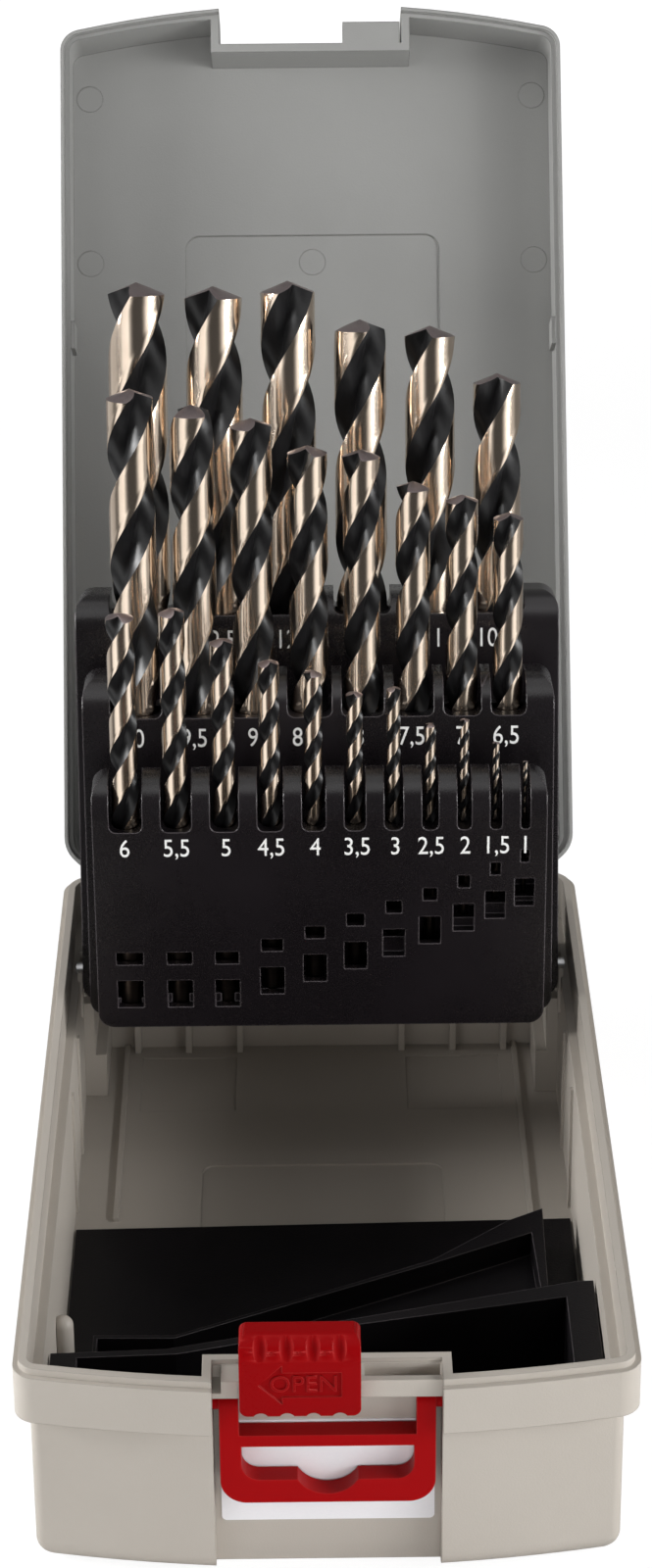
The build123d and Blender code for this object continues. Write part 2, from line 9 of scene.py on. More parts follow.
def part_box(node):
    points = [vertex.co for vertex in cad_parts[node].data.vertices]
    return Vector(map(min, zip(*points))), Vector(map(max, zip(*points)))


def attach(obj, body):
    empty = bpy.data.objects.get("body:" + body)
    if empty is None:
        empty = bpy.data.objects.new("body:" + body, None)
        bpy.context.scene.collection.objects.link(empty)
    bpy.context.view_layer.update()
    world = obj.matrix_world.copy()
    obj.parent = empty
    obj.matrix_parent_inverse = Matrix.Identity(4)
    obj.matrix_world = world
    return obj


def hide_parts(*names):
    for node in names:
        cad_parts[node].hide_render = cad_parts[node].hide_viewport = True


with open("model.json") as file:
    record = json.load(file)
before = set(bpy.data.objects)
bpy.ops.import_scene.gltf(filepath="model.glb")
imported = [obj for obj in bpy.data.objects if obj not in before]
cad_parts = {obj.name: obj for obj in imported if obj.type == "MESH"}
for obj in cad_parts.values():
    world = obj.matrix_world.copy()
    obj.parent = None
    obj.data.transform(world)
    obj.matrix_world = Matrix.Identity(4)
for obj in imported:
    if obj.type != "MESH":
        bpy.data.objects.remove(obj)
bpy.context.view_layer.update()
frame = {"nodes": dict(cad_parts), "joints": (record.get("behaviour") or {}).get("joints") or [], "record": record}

mm = 0.001
sameSpot = 1e-6  # metres: nearer than this is the same place


# Shader sums: a socket in a Wire is added, subtracted and multiplied like a number
class Wire:
    def __init__(self, graph, socket):
        self.graph = graph
        self.socket = socket

    def sum(self, operation, first, second):
        return self.graph.node("ShaderNodeMath", {"operation": operation}, {0: first, 1: second})

    def __add__(self, other):
        return self.sum("ADD", self, other)

    def __radd__(self, other):
        return self.sum("ADD", other, self)

    def __sub__(self, other):
        return self.sum("SUBTRACT", self, other)

    def __rsub__(self, other):
        return self.sum("SUBTRACT", other, self)

    def __mul__(self, other):
        return self.sum("MULTIPLY", self, other)

    def __rmul__(self, other):
        return self.sum("MULTIPLY", other, self)

    def between(self, low, high):
        # 0 up to the low value and 1 from the high one
        sockets = {"Value": self, "From Min": low, "From Max": high}
        return self.graph.node("ShaderNodeMapRange", {"clamp": True}, sockets)

    def beside(self, output):
        # another output of the same node
        return Wire(self.graph, self.socket.node.outputs[output])

    def into(self, node, label):
        self.graph.tree.links.new(self.socket, self.graph.tree.nodes[node].inputs[label])


# A node tree, of a material or of the room
class Graph:
    def __init__(self, owner):
        owner.use_nodes = True
        self.tree = owner.node_tree

    def node(self, kind, settings=None, sockets=None, output=0):
        made = self.tree.nodes.new(kind)
        for label, value in (settings or {}).items():
            if label == "stops":
                ramp = made.color_ramp
                while len(ramp.elements) < len(value):
                    ramp.elements.new(0.5)
                for element, (place, colour) in zip(ramp.elements, value):
                    element.position = place
                    element.color = colour
            else:
                setattr(made, label, value)
        for label, value in (sockets or {}).items():
            if isinstance(value, Wire):
                self.tree.links.new(value.socket, made.inputs[label])
            else:
                made.inputs[label].default_value = value
        return Wire(self, made.outputs[output])

    def asked(self):
        # 1 for what the camera, a mirror or a clear body looks at, 0 where light is gathered
        camera = self.node("ShaderNodeLightPath", output="Is Camera Ray")
        rays = camera + camera.beside("Is Glossy Ray") + camera.beside("Is Transmission Ray")
        return rays.between(0, 1)


class Finish(Graph):
    def __init__(self, name, **fixed):
        self.material = bpy.data.materials.new(name)
        super().__init__(self.material)
        self.shader = self.tree.nodes["Principled BSDF"]
        for label, value in fixed.items():
            self.shader.inputs[label.replace("_", " ")].default_value = value

    def place(self, stretch=(1, 1, 1)):
        start = self.node("ShaderNodeTexCoord", output="Object")
        return self.node("ShaderNodeMapping", sockets={"Vector": start, "Scale": stretch})

    def noise(self, where, scale, detail=3.0, rough=0.6):
        sockets = {"Vector": where, "Scale": scale, "Detail": detail, "Roughness": rough}
        return self.node("ShaderNodeTexNoise", sockets=sockets)

    def blend(self, mask, first, second):
        return self.node("ShaderNodeMix", {"data_type": "RGBA"}, {"Factor": mask, 6: first, 7: second}, 2)

    def rounded(self, radius, samples=6):
        return self.node("ShaderNodeBevel", {"samples": samples}, {"Radius": radius})

    def turned(self, soft):
        # 0 on a flat face, and more where the rounded normal turns away from it
        flat = self.node("ShaderNodeNewGeometry", output="True Normal")
        same = self.node("ShaderNodeVectorMath", {"operation": "DOT_PRODUCT"}, {0: soft, 1: flat}, "Value")
        return 1.0 - same

    def bump(self, height, strength, distance=0.0002, normal=None):
        sockets = {"Height": height, "Strength": strength, "Distance": distance}
        if normal is not None:
            sockets["Normal"] = normal
        return self.node("ShaderNodeBump", sockets=sockets)

    def feed(self, **links):
        for label, wire in links.items():
            wire.into("Principled BSDF", label.replace("_", " "))

    def shine(self, surface):
        surface.into("Material Output", "Surface")


def shade(red, green, blue):
    # a colour as a screen shows it, 0 to 255, made linear
    linear = []
    for part in (red / 255, green / 255, blue / 255):
        linear.append(part / 12.92 if part <= 0.04045 else ((part + 0.055) / 1.055) ** 2.4)
    return (*linear, 1.0)


def pickOnly(*pieces):
    bpy.ops.object.select_all(action="DESELECT")
    for piece in pieces:
        piece.select_set(True)
    bpy.context.view_layer.objects.active = pieces[0]


def freeze(piece):
    # the place goes into the mesh, and the object back to the origin
    pickOnly(piece)
    bpy.ops.object.transform_apply(location=True, rotation=True, scale=True)
    return piece


def joinAll(pieces, name):
    pickOnly(*pieces)
    bpy.ops.object.join()
    pieces[0].name = name
    return pieces[0]


def paint(piece, *finishes):
    piece.data.materials.clear()
    for finish in finishes:
        piece.data.materials.append(finish.material)


def selectWhere(piece, kind, test):
    # in edit mode: selects the vertices, edges or faces whose middle passes the test
    bpy.ops.mesh.select_mode(type=kind)
    bpy.ops.mesh.select_all(action="DESELECT")
    mesh = bmesh.from_edit_mesh(piece.data)
    group = {"VERT": mesh.verts, "EDGE": mesh.edges, "FACE": mesh.faces}[kind]
    for item in group:
        if kind == "VERT":
            chosen = test(item.co)
        elif kind == "EDGE":
            chosen = test((item.verts[0].co + item.verts[1].co) / 2)
        else:
            chosen = test(item.calc_center_median(), item.normal)
        item.select_set(chosen)
    mesh.select_flush_mode()
    bmesh.update_edit_mesh(piece.data)


# Moulded plastics: "grain" is the strength of the erosion and "soft" the rounding of an edge in millimetres; the
# last colour and the last number give a painted edge tone and its share there: a painted highlight on the racks,
# stop, latch and hanger, painted shade on the case and lid
plasticLooks = {
    "case": {"colour": shade(180, 173, 164), "dust": shade(197, 191, 183), "edge": shade(158, 151, 142),
             "rough": 0.42, "grain": 0.09, "sheen": 0.35, "soft": 0.35, "paintedEdgeShare": 0.6},
    "lid": {"colour": shade(148, 148, 146), "dust": shade(162, 162, 160), "edge": shade(92, 91, 88),
            "rough": 0.44, "grain": 0.09, "sheen": 0.3, "soft": 0.5, "paintedEdgeShare": 0.8},
    "rack": {"colour": shade(19, 16, 18), "dust": shade(44, 38, 43), "edge": shade(112, 104, 108),
             "rough": 0.28, "grain": 0.06, "sheen": 0.5, "soft": 0.45, "paintedEdgeShare": 0.7},
    "stop": {"colour": shade(11, 9, 11), "dust": shade(30, 26, 30), "edge": shade(112, 105, 108),
             "rough": 0.40, "grain": 0.12, "sheen": 0.2, "soft": 0.3, "paintedEdgeShare": 0.85},
    "latch": {"colour": shade(140, 6, 10), "dust": shade(152, 10, 14), "edge": shade(196, 60, 58),
              "rough": 0.30, "grain": 0.05, "sheen": 0.06, "soft": 0.35, "paintedEdgeShare": 0.6},
    "hanger": {"colour": shade(152, 8, 12), "dust": shade(164, 13, 17), "edge": shade(200, 62, 60),
               "rough": 0.30, "grain": 0.05, "sheen": 0.06, "soft": 0.35, "paintedEdgeShare": 0.6},
}
cloudLook = {"scale": 28.0, "detail": 4.0, "seen": (0.3, 0.7), "share": 0.2, "roughSpread": 0.14}
erosionLook = {"scale": 2600.0, "detail": 2.0, "roughSpread": 0.1, "depth": 0.0004}
# where the painted edge highlight and shade begin and are full, by how far the rounded normal turns
edgeLook = {"turned": (0.01, 0.22)}


def plastic(name):
    # faint flow clouds, a fine eroded grain and a painted edge tone: painted highlight on the racks, stop, latch
    # and hanger, painted shade on the case and lid
    look = plasticLooks[name]
    made = Finish(name + "Plastic", Roughness=look["rough"], Specular_IOR_Level=look["sheen"])
    where = made.place()
    cloud = made.noise(where, cloudLook["scale"], cloudLook["detail"])
    grain = made.noise(where, erosionLook["scale"], erosionLook["detail"])
    soft = made.rounded(look["soft"] * mm)
    dusty = cloudLook["share"] * cloud.between(*cloudLook["seen"])
    # painted edge highlight and shade, strongest where the rounded normal turns most from the flat face
    paintedEdgeShare = look["paintedEdgeShare"] * made.turned(soft).between(*edgeLook["turned"])
    body = made.blend(dusty, look["colour"], look["dust"])
    made.feed(Base_Color=made.blend(paintedEdgeShare, body, look["edge"]))
    uneven = (cloud - 0.5) * cloudLook["roughSpread"] + (grain - 0.5) * erosionLook["roughSpread"]
    made.feed(Roughness=look["rough"] + uneven)
    made.feed(Normal=made.bump(grain, look["grain"], erosionLook["depth"], soft))
    return made


# Finishes with one grain: "noise" is its scale, detail and roughness, "seen" the part of it that blends the
# two colours, and "rough" the least roughness and what the grain adds to it
grainLooks = {
    # oxide-blackened flute with long draw marks
    "drillFlute": {"fixed": {"Specular_IOR_Level": 0.4}, "stretch": (1, 1, 0.3), "noise": (1800.0,),
                   "seen": (0.3, 0.8), "share": 1.0, "colours": (shade(17, 17, 18), shade(27, 26, 27)),
                   "rough": (0.30, 0.08), "bump": 0.05},
    # bare ground relief of the point, matte with cross marks
    "drillPoint": {"fixed": {"Metallic": 1.0}, "stretch": (2200, 300, 300), "noise": (3.0,),
                   "seen": (0, 1), "share": 1.0, "colours": (shade(138, 124, 126), shade(182, 168, 166)),
                   "rough": (0.28, 0.16), "bump": 0.12},
    # plain turned shank, in a darker steel than the lands
    "drillShank": {"fixed": {"Metallic": 1.0}, "stretch": (60, 60, 1600), "noise": (3.0,),
                   "seen": (0, 1), "share": 1.0, "colours": (shade(84, 74, 68), shade(112, 100, 92)),
                   "rough": (0.28, 0.1), "bump": 0.06},
    # drawn steel wire
    "pinMetal": {"fixed": {"Metallic": 1.0}, "stretch": (40, 900, 900), "noise": (3.0,),
                 "seen": (0, 1), "share": 1.0, "colours": (shade(168, 168, 170), shade(205, 205, 206)),
                 "rough": (0.22, 0.2), "bump": 0.1},
    # pad-printed ink, a little thin in places
    "whitePrint": {"fixed": {}, "stretch": (1, 1, 1), "noise": (1400.0,), "seen": (0.35, 0.8), "share": 0.35,
                   "colours": (shade(244, 244, 242), shade(205, 205, 203)), "rough": (0.42, 0.2)},
    # smooth coated paper with a faint fibre
    "labelPaper": {"fixed": {"Coat_Weight": 0.3}, "stretch": (1, 1, 3), "noise": (900.0, 4.0, 0.7),
                   "seen": (0.3, 0.8), "share": 0.4, "colours": (shade(240, 240, 243), shade(228, 229, 233)),
                   "rough": (0.26, 0.12), "bump": 0.05},
}


def grained(name):
    look = grainLooks[name]
    made = Finish(name, **look["fixed"])
    grain = made.noise(made.place(look["stretch"]), *look["noise"])
    made.feed(Base_Color=made.blend(look["share"] * grain.between(*look["seen"]), *look["colours"]))
    least, added = look["rough"]
    made.feed(Roughness=least + grain * added)
    if "bump" in look:
        made.feed(Normal=made.bump(grain, look["bump"]))
    return made


landLook = {
    "rings": (60, 60, 2400), "ringScale": 3.0, "hazeScale": 90.0, "seen": (0.35, 0.75), "share": 0.5,
    "colours": (shade(234, 216, 197), shade(210, 191, 171)), "rough": 0.10, "uneven": 0.06, "bump": 0.06,
}


def polishedLand():
    # ground and polished steel with a warm tint and the fine rings of the grinding wheel
    look = landLook
    made = Finish("drillLand", Metallic=1.0)
    rings = made.noise(made.place(look["rings"]), look["ringScale"])
    haze = made.noise(made.place(), look["hazeScale"])
    made.feed(Base_Color=made.blend(look["share"] * haze.between(*look["seen"]), *look["colours"]))
    made.feed(Roughness=look["rough"] + (haze + rings) * look["uneven"])
    made.feed(Normal=made.bump(rings, look["bump"]))
    return made


plastics = {name: plastic(name) for name in plasticLooks}
grains = {name: grained(name) for name in grainLooks}
landFinish = polishedLand()

nodeFinishes = {
    "base_tray": plastics["case"], "lid": plastics["lid"], "bit_stop": plastics["stop"],
    "rack_small": plastics["rack"], "rack_medium": plastics["rack"], "rack_large": plastics["rack"],
    "latch_slider": plastics["latch"], "hanger_bail": plastics["hanger"],
    "hinge_pin_left": grains["pinMetal"], "hinge_pin_right": grains["pinMetal"],
    "rack_pin_left": grains["pinMetal"], "rack_pin_right": grains["pinMetal"],
    "label_plate": grains["labelPaper"],
}
for nodeName, finish in nodeFinishes.items():
    paint(frame["nodes"][nodeName], finish)
print("finishes made:", len(bpy.data.materials))

# Racks: the drills that each holds, how far it leans open in degrees, and in millimetres how far its face
# stands in front of the pivot, how thick it is and how high above the pivot its numbers are
joints = {joint["name"]: joint for joint in frame["joints"]}
rackPivot = Vector(joints["rack_small_pivot"]["pos_m"])
racks = {
    "small": {"holds": (1, 6), "lean": 0, "face": 32, "thickness": 9.5, "numbersAt": 47.4},
    "medium": {"holds": (6.5, 10), "lean": 8, "face": 21.5, "thickness": 13.5, "numbersAt": 61.5},
    "large": {"holds": (10.5, 13), "lean": 15, "face": 7, "thickness": 16.5, "numbersAt": 76.0},
}


def rackPlace(rack):
    # from the upright rack, in metres with its pivot at the origin, to its place in the open case
    return Matrix.Translation(rackPivot) @ Matrix.Rotation(math.radians(-racks[rack]["lean"]), 4, "X")


# Drills: angles in degrees; the web, the relief behind the margin and the chamfer are shares of the radius
drillLooks = {
    "helix": 32, "point": 135, "land": 88, "margin": 9, "web": 0.30, "relief": 0.985, "hollow": 1.7,
    "chamfer": 0.15, "sides": 48, "pointSides": 96, "stepsPerTurn": 36, "leastSteps": 12, "smooth": 32,
    # a face nearer to the axis than this is in a flute, and one near the tip that looks up is on the point
    "inFlute": 0.973, "pointLooksUp": 0.85, "pointReach": 1.02,
    # for each diameter in millimetres, the length of the flutes
    "flutes": {
        13: 101, 12.5: 101, 12: 101, 11.5: 94, 11: 94, 10.5: 87, 10: 87, 9.5: 81, 9: 81, 8.5: 75, 8: 75,
        7.5: 69, 7: 69, 6.5: 63, 6: 57, 5.5: 57, 5: 52, 4.5: 47, 4: 43, 3.5: 39, 3: 33, 2.5: 30, 2: 24,
        1.5: 18, 1: 12,
    },
    # and the compass angle of a land where the point begins
    "turns": {
        13: 140, 12.5: 160, 12: 40, 11.5: 75, 11: 155, 10.5: 10, 10: 55, 9.5: 100, 9: 55, 8.5: 170, 8: 150,
        7.5: 130, 7: 35, 6.5: 20, 6: 170, 5.5: 60, 5: 45, 4.5: 40, 4: 140, 3.5: 170, 3: 50, 2.5: 110, 2: 160,
        1.5: 170, 1: 10,
    },
}
bodyOf = {node: body for body, nodes in frame["record"]["behaviour"]["bodies"].items() for node in nodes}


def reachAt(angle):
    # share of the radius that is left, at an angle in degrees from the middle of the nearer land
    look = drillLooks
    away = abs(angle)
    if away > look["land"] / 2:
        share = (90 - away) / (90 - look["land"] / 2)
        return look["web"] + (1 - look["web"]) * share ** look["hollow"]
    return 1.0 if angle > look["land"] / 2 - look["margin"] else look["relief"]


def landAngle(co):
    # angle in degrees, from -90 to 90, between a point and the nearer land along X
    return (math.degrees(math.atan2(co.y, co.x)) + 90) % 180 - 90


def isAt(co, angle):
    # whether a point stands at an angle, or half a turn from it
    apart = abs(landAngle(co) - angle)
    return min(apart, 180 - apart) < 1


def flutedPart(radius, low, high, rounds):
    sides = drillLooks["sides"]
    bpy.ops.mesh.primitive_circle_add(vertices=sides, radius=radius, location=(0, 0, low))
    fluted = freeze(bpy.context.object)
    bpy.ops.object.mode_set(mode="EDIT")
    for number in range(sides // 2):
        angle = number * 360 / sides - 90
        left = reachAt(angle)
        selectWhere(fluted, "VERT", lambda co: isAt(co, angle))
        bpy.ops.transform.resize(value=(left, left, 1), center_override=(0, 0, 0))
    bpy.ops.object.mode_set(mode="OBJECT")
    screw = fluted.modifiers.new("twist", "SCREW")
    screw.angle = math.radians(360 * rounds)
    screw.screw_offset = high - low
    screw.steps = max(drillLooks["leastSteps"], round(rounds * drillLooks["stepsPerTurn"]))
    screw.render_steps = screw.steps
    bpy.ops.object.modifier_apply(modifier="twist")
    bpy.ops.object.mode_set(mode="EDIT")
    for level in (low, high):
        selectWhere(fluted, "VERT", lambda co: abs(co.z - level) < sameSpot)
        bpy.ops.mesh.edge_face_add()
    bpy.ops.mesh.select_all(action="SELECT")
    bpy.ops.mesh.normals_make_consistent(inside=False)
    bpy.ops.object.mode_set(mode="OBJECT")
    return fluted


def carve(piece, tool, operation):
    pickOnly(piece)
    cut = piece.modifiers.new("cut", "BOOLEAN")
    cut.operation = operation
    cut.solver = "EXACT"
    cut.object = tool
    bpy.ops.object.modifier_apply(modifier="cut")
    bpy.data.objects.remove(tool)


def finishWhere(piece, number, test):
    # in edit mode: the faces that pass the test take the piece's finish of that number
    selectWhere(piece, "FACE", test)
    piece.active_material_index = number
    bpy.ops.object.material_slot_assign()


def twistDrill(name, diameter, length, flute, turn):
    # stands on the end of its shank, with a land at the compass angle of the turn where its point begins
    look = drillLooks
    radius = diameter / 2
    root = length - flute
    slope = math.tan(math.radians(look["point"] / 2))
    rounds = flute * math.tan(math.radians(look["helix"])) / (math.pi * diameter)
    fluted = flutedPart(radius, root, length, rounds)
    bpy.ops.mesh.primitive_cone_add(vertices=look["pointSides"], radius1=length * slope, radius2=0,
                                    depth=length, location=(0, 0, length / 2))
    carve(fluted, bpy.context.object, "INTERSECT")
    bpy.ops.mesh.primitive_cylinder_add(vertices=look["sides"], radius=radius, depth=root,
                                        location=(0, 0, root / 2))
    shank = freeze(bpy.context.object)
    bpy.ops.object.mode_set(mode="EDIT")
    selectWhere(shank, "EDGE", lambda co: co.z < sameSpot)
    bpy.ops.mesh.bevel(offset=radius * look["chamfer"], segments=2)
    bpy.ops.object.mode_set(mode="OBJECT")
    paint(shank, grains["drillShank"])
    paint(fluted, landFinish, grains["drillFlute"], grains["drillPoint"])
    joinAll([fluted, shank], name)
    inner = radius * look["inFlute"]
    pointFrom = length - radius / slope * look["pointReach"]
    bpy.ops.object.mode_set(mode="EDIT")
    finishWhere(fluted, 1, lambda co, normal: math.hypot(co.x, co.y) < inner and co.z > root + sameSpot)
    finishWhere(fluted, 2, lambda co, normal: normal.z > look["pointLooksUp"] and co.z > pointFrom)
    bpy.ops.object.mode_set(mode="OBJECT")
    fluted.matrix_world = Matrix.Rotation(math.radians(turn - 360 * rounds), 4, "Z")
    freeze(fluted)
    bpy.ops.object.shade_smooth_by_angle(angle=math.radians(look["smooth"]))
    return fluted


def makeDrills():
    for node in sorted(name for name in frame["nodes"] if name.startswith("drill_")):
        size = node.removeprefix("drill_")
        diameter = float(size.replace("_", "."))
        rack = next(name for name in racks if racks[name]["holds"][0] <= diameter <= racks[name]["holds"][1])
        low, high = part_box(node)
        lean = math.radians(racks[rack]["lean"])
        tilted = diameter * mm * math.sin(lean)  # between the low and the high side of the shank's end
        length = (high.z - low.z - tilted / 2) / math.cos(lean)
        piece = twistDrill("bit_" + size, diameter * mm, length, drillLooks["flutes"][diameter] * mm,
                           drillLooks["turns"][diameter])
        depth = (racks[rack]["thickness"] / 2 - racks[rack]["face"]) * mm
        seat = (low.z + tilted / 2 - rackPivot.z + depth * math.sin(lean)) / math.cos(lean)
        piece.matrix_world = rackPlace(rack) @ Matrix.Translation(((low.x + high.x) / 2, depth, seat))
        freeze(piece)
        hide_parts(node)
        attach(piece, bodyOf[node])


makeDrills()

# Numbers, in millimetres: each rack's sizes from left to right, and where each is printed; the font's
# capitals are a share of its size
numberLooks = {
    "height": 4.1, "depth": 0.05, "bold": 0.008, "narrow": 0.82, "capitals": 0.69, "curveSteps": 4,
    "small": list(zip(("6", "5,5", "5", "4,5", "4", "3,5", "3", "2,5", "2", "1,5", "1"),
                      (-41.3, -30.3, -19.8, -10.2, -0.9, 7.9, 16.0, 23.6, 30.8, 37.4, 43.5))),
    "medium": list(zip(("10", "9,5", "9", "8,5", "8", "7,5", "7", "6,5"),
                       (-39.6, -26.6, -14.0, -2.7, 8.6, 20.0, 30.5, 40.2))),
    "large": list(zip(("13", "12,5", "12", "11,5", "11", "10,5"),
                      (-38.0, -21.8, -6.8, 9.7, 25.3, 38.9))),
}


def engrave(words, height):
    # flat lettering as a thin mesh, centred on the origin, with capitals of the height in millimetres
    bpy.ops.object.text_add(location=(0, 0, 0))
    word = bpy.context.object
    word.data.body = words
    word.data.size = height * mm / numberLooks["capitals"]
    word.data.offset = numberLooks["bold"] * mm
    word.data.align_x = "CENTER"
    word.data.align_y = "CENTER"
    word.data.extrude = numberLooks["depth"] * mm / 2
    word.data.resolution_u = numberLooks["curveSteps"]
    pickOnly(word)
    bpy.ops.object.convert(target="MESH")
    return word


def printNumbers(rack):
    parts = []
    front = -(racks[rack]["face"] + numberLooks["depth"] / 2) * mm
    for words, across in numberLooks[rack]:
        word = engrave(words, numberLooks["height"])
        up = Matrix.Translation((across * mm, front, racks[rack]["numbersAt"] * mm))
        thin = Matrix.Diagonal((numberLooks["narrow"], 1, 1, 1))
        word.matrix_world = rackPlace(rack) @ up @ Matrix.Rotation(math.pi / 2, 4, "X") @ thin
        freeze(word)
        parts.append(word)
    joined = joinAll(parts, rack + "Numbers")
    paint(joined, grains["whitePrint"])
    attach(joined, "rack_" + rack)


for rackName in racks:
    printNumbers(rackName)
print("numbers printed")

# Latch, in millimetres: the moulded shell with a sunk arrow, which points the way it opens, and the word in
# it; faces that turn less than "level" degrees become one, and edges over "smooth" degrees stay sharp
arrowLook = {
    "tip": -12.7, "neck": -8.3, "end": 2.6, "overlap": 0.02, "middle": 46.0, "head": 4.3, "shaft": 2.7,
    "sunk": 0.4, "word": "OPEN", "wordFrom": -10.4, "wordTo": 1.8, "letters": 3.5, "raised": 0.32,
    "level": 0.5, "smooth": 30,
}


def makeLatch():
    look = arrowLook
    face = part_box("latch_slider")[0].y
    shell = bpy.data.objects.new("latchShell", frame["nodes"]["latch_slider"].data.copy())
    bpy.context.scene.collection.objects.link(shell)
    pickOnly(shell)
    bpy.ops.object.mode_set(mode="EDIT")
    bpy.ops.mesh.select_all(action="SELECT")
    bpy.ops.mesh.remove_doubles(threshold=sameSpot)
    bpy.ops.object.mode_set(mode="OBJECT")
    sunk = look["sunk"] * mm
    centre = (look["neck"] + look["end"]) / 2 * mm
    bpy.ops.mesh.primitive_cube_add(size=1, location=(centre, face, look["middle"] * mm))
    shaft = bpy.context.object
    shaft.scale = ((look["end"] - look["neck"] + look["overlap"]) * mm, 2 * sunk, 2 * look["shaft"] * mm)
    carve(shell, freeze(shaft), "DIFFERENCE")
    radius = (look["neck"] - look["tip"]) * mm / 1.5  # a triangle is 1.5 radii high
    bpy.ops.mesh.primitive_cylinder_add(vertices=3, radius=radius, depth=2 * sunk)
    head = bpy.context.object
    stretch = look["head"] * mm / (radius * math.sin(math.radians(60)))
    middle = Vector((look["tip"] * mm + radius, face, look["middle"] * mm))
    head.matrix_world = Matrix(((0, -1, 0, middle.x), (0, 0, -1, middle.y),
                                (stretch, 0, 0, middle.z), (0, 0, 0, 1)))
    carve(shell, freeze(head), "DIFFERENCE")
    bpy.ops.object.mode_set(mode="EDIT")
    bpy.ops.mesh.select_all(action="SELECT")
    bpy.ops.mesh.dissolve_limited(angle_limit=math.radians(look["level"]))
    bpy.ops.object.mode_set(mode="OBJECT")
    bpy.ops.object.shade_smooth_by_angle(angle=math.radians(look["smooth"]))
    flat = shell.modifiers.new("flat", "WEIGHTED_NORMAL")
    flat.keep_sharp = True
    bpy.ops.object.modifier_apply(modifier="flat")
    paint(shell, plastics["latch"])
    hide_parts("latch_slider")
    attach(shell, "latch")
    word = engrave(look["word"], look["letters"])
    widen = (look["wordTo"] - look["wordFrom"]) * mm / word.dimensions.x
    thicken = 2 * look["raised"] / numberLooks["depth"]
    middle = Vector(((look["wordFrom"] + look["wordTo"]) / 2 * mm, face + sunk, look["middle"] * mm))
    upright = Matrix.Translation(middle) @ Matrix.Rotation(math.pi / 2, 4, "X")
    word.matrix_world = upright @ Matrix.Diagonal((widen, 1, thicken, 1))
    freeze(word)
    word.name = "latchWord"
    paint(word, plastics["latch"])
    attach(word, "latch")


makeLatch()

# Lid: the round marks that the ejector pins leave, across and along the shut lid in millimetres
markLooks = {"radius": 3.2, "height": 0.03, "sides": 48, "under": 60.0, "panel": 0.5,
             "plain": ((-52.4, -46.4), (52.4, -46.4), (-52.4, -86), (52.4, -86)), "inPanel": ((0, -46.4),)}


def makeLidMarks():
    look = markLooks
    hinge = Matrix.Translation(Vector(joints["lid_hinge"]["pos_m"]))
    swing = -math.radians(joints["lid_hinge"]["range_deg"][1])
    opened = hinge @ Matrix.Rotation(swing, 4, "X") @ hinge.inverted()
    marks = []
    for places, lift in ((look["plain"], 0), (look["inPanel"], look["panel"])):
        for across, along in places:
            bpy.ops.mesh.primitive_cylinder_add(vertices=look["sides"], radius=look["radius"] * mm,
                                                depth=2 * look["height"] * mm)
            mark = bpy.context.object
            height = (look["under"] + lift) * mm
            mark.matrix_world = opened @ Matrix.Translation((across * mm, along * mm, height))
            marks.append(freeze(mark))
    joined = joinAll(marks, "ejectorMarks")
    paint(joined, plastics["lid"])
    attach(joined, "lid")


makeLidMarks()
print("latch and lid marks made")

# Stage, in metres and watts: the floor, the lamps, the room and the camera
stageLooks = {
    "floorSize": 12.0, "paper": (0.9, 0.9, 0.9, 1), "paperRough": 0.9,
    # the share of plain white in the floor near the case, and how far from it the floor is all white
    "whiteShare": 0.80, "whiteFrom": 0.5, "whiteTo": 1.1, "glow": 1.12,
    # the room's own light, and the spot that every lamp faces
    "sky": 0.10, "aim": (0, 0, 0.08),
    "lamps": {
        "front": {"at": (0.05, -1.20, 0.20), "size": (0.4, 0.3), "power": 2.6, "mirrored": False},
        "frontLeft": {"at": (-0.75, -0.92, 0.34), "size": (0.6, 0.35), "power": 1.6, "mirrored": False},
        "frontRight": {"at": (0.90, -0.82, 0.34), "size": (0.6, 0.35), "power": 3.9, "mirrored": False},
        "sideLeft": {"at": (-0.85, 0.04, 0.38), "size": (0.5, 0.25), "power": 9.2, "mirrored": True},
        "sideRight": {"at": (0.80, -0.25, 0.35), "size": (0.5, 0.2), "power": 5.4, "mirrored": True},
        "top": {"at": (-0.15, -0.20, 1.40), "size": (0.8, 0.6), "power": 0.6, "mirrored": True},
    },
    # what the steel mirrors, from the back over the left, the front and the right: degrees and brightness
    "mirror": {"at": (0, 0.07, 0.0006), "radius": 1.5, "height": 2.5, "sides": 64, "glow": 1.35, "cards": (
        (-180, 0.16), (-132, 0.18), (-122, 0.46), (-92, 0.34), (-80, 0.10), (-68, 0.12), (-60, 0.80),
        (-34, 1.0), (-26, 0.30), (-16, 0.05), (24, 0.05), (32, 0.30), (42, 0.90), (62, 1.0), (68, 0.30),
        (84, 0.36), (98, 0.14), (180, 0.16))},
}


def makeFloor():
    look = stageLooks
    bpy.ops.mesh.primitive_plane_add(size=look["floorSize"], location=(0, 0, 0))
    floor = bpy.context.object
    floor.name = "studioFloor"
    made = Finish("floorPaper", Base_Color=look["paper"], Roughness=look["paperRough"])
    glow = made.node("ShaderNodeEmission", sockets={"Color": (1, 1, 1, 1), "Strength": look["glow"]})
    away = made.node("ShaderNodeVectorMath", {"operation": "LENGTH"}, {0: made.place()}, "Value")
    far = away.between(look["whiteFrom"], look["whiteTo"])
    white = look["whiteShare"] + far * (1 - look["whiteShare"])
    paper = Wire(made, made.shader.outputs[0])
    made.shine(made.node("ShaderNodeMixShader", sockets={"Fac": made.asked() * white, 1: paper, 2: glow}))
    paint(floor, made)


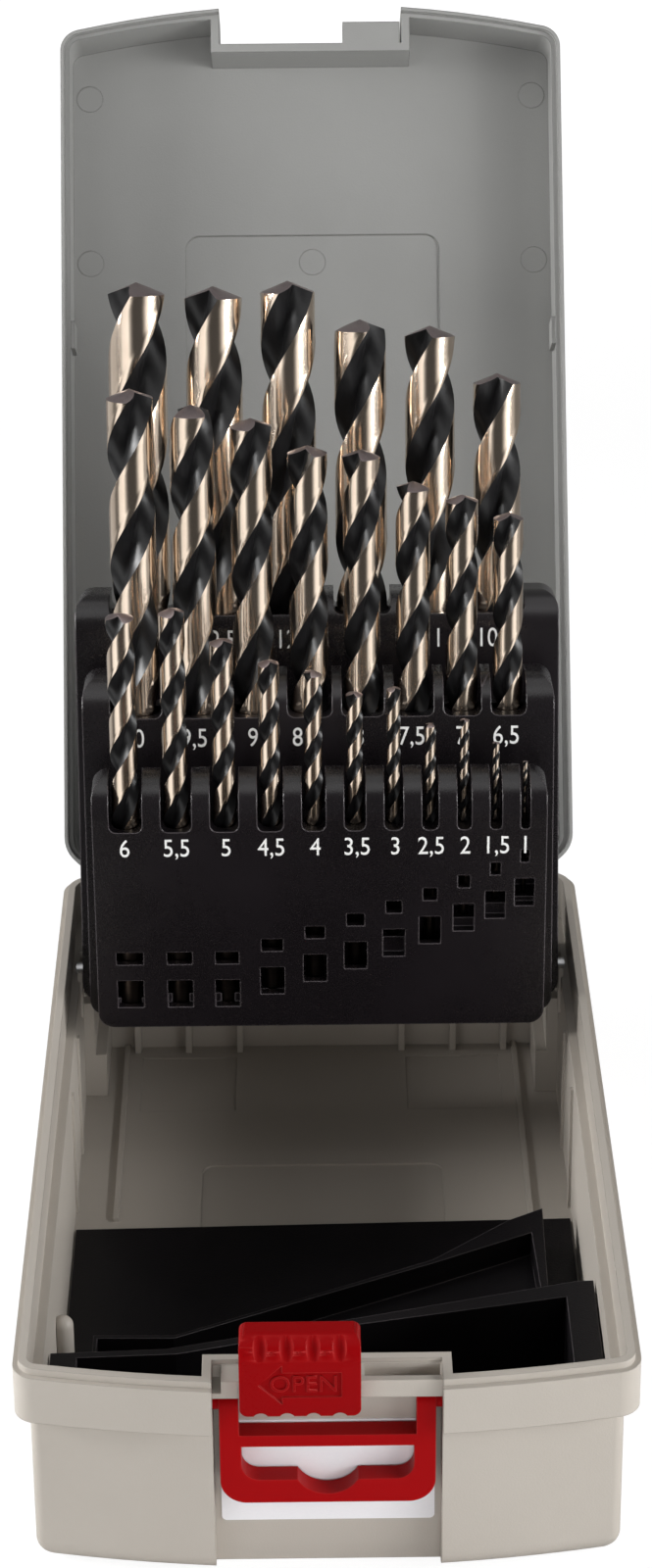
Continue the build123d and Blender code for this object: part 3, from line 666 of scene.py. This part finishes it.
def makeMirrorCards():
    # a disc and the wall round it, in dark and bright cards that only mirror-like surfaces see
    look = stageLooks["mirror"]
    bpy.ops.mesh.primitive_circle_add(vertices=look["sides"], radius=look["radius"], fill_type="NGON",
                                      location=look["at"])
    ring = freeze(bpy.context.object)
    ring.name = "mirrorCards"
    bpy.ops.object.mode_set(mode="EDIT")
    bpy.ops.mesh.select_all(action="SELECT")
    bpy.ops.mesh.region_to_loop()
    bpy.ops.mesh.extrude_edges_move(TRANSFORM_OT_translate={"value": (0, 0, look["height"])})
    bpy.ops.object.mode_set(mode="OBJECT")
    made = Finish("mirrorCards")
    apart = made.node("ShaderNodeSeparateXYZ", sockets={0: made.place()}, output="X")
    across = apart - look["at"][0]
    ahead = look["at"][1] - apart.beside("Y")
    turn = across.sum("ARCTAN2", across, ahead) * (0.5 / math.pi) + 0.5
    stops = [(angle / 360 + 0.5, (bright, bright, bright, 1)) for angle, bright in look["cards"]]
    tone = made.node("ShaderNodeValToRGB", {"stops": stops}, {"Fac": turn})
    made.shine(made.node("ShaderNodeEmission", sockets={"Color": tone, "Strength": look["glow"]}))
    paint(ring, made)
    for kind in ("camera", "diffuse", "transmission", "volume_scatter", "shadow"):
        setattr(ring, "visible_" + kind, False)


def makeLamps():
    for name, look in stageLooks["lamps"].items():
        lamp = bpy.data.lights.new(name, "AREA")
        lamp.shape = "RECTANGLE"
        lamp.size, lamp.size_y = look["size"]
        lamp.energy = look["power"]
        holder = bpy.data.objects.new(name, lamp)
        bpy.context.scene.collection.objects.link(holder)
        holder.location = look["at"]
        aim = Vector(stageLooks["aim"]) - holder.location
        holder.rotation_euler = aim.to_track_quat("-Z", "Y").to_euler()
        holder.visible_glossy = look["mirrored"]


def makeRoom():
    world = bpy.data.worlds.new("studioRoom")
    bpy.context.scene.world = world
    room = Graph(world)
    room.tree.nodes["Background"].inputs["Color"].default_value = (1, 1, 1, 1)
    level = room.asked() * (1 - stageLooks["sky"]) + stageLooks["sky"]
    level.into("Background", "Strength")


cameraLook = {"at": (-0.002573, -0.681324, 0.459773), "turn": (63.3037, 0.4114, -0.5252), "lens": 87.977,
              "sensor": 36, "nearest": 0.01, "farthest": 50}


def makeCamera():
    data = bpy.data.cameras.new("studioCamera")
    data.lens = cameraLook["lens"]
    data.sensor_width = cameraLook["sensor"]
    data.clip_start = cameraLook["nearest"]
    data.clip_end = cameraLook["farthest"]
    camera = bpy.data.objects.new("studioCamera", data)
    bpy.context.scene.collection.objects.link(camera)
    camera.location = cameraLook["at"]
    camera.rotation_euler = Euler([math.radians(angle) for angle in cameraLook["turn"]])
    bpy.context.scene.camera = camera


makeFloor()
makeMirrorCards()
makeLamps()
makeRoom()
makeCamera()
bpy.context.scene.view_settings.view_transform = "Standard"
print("stage set")
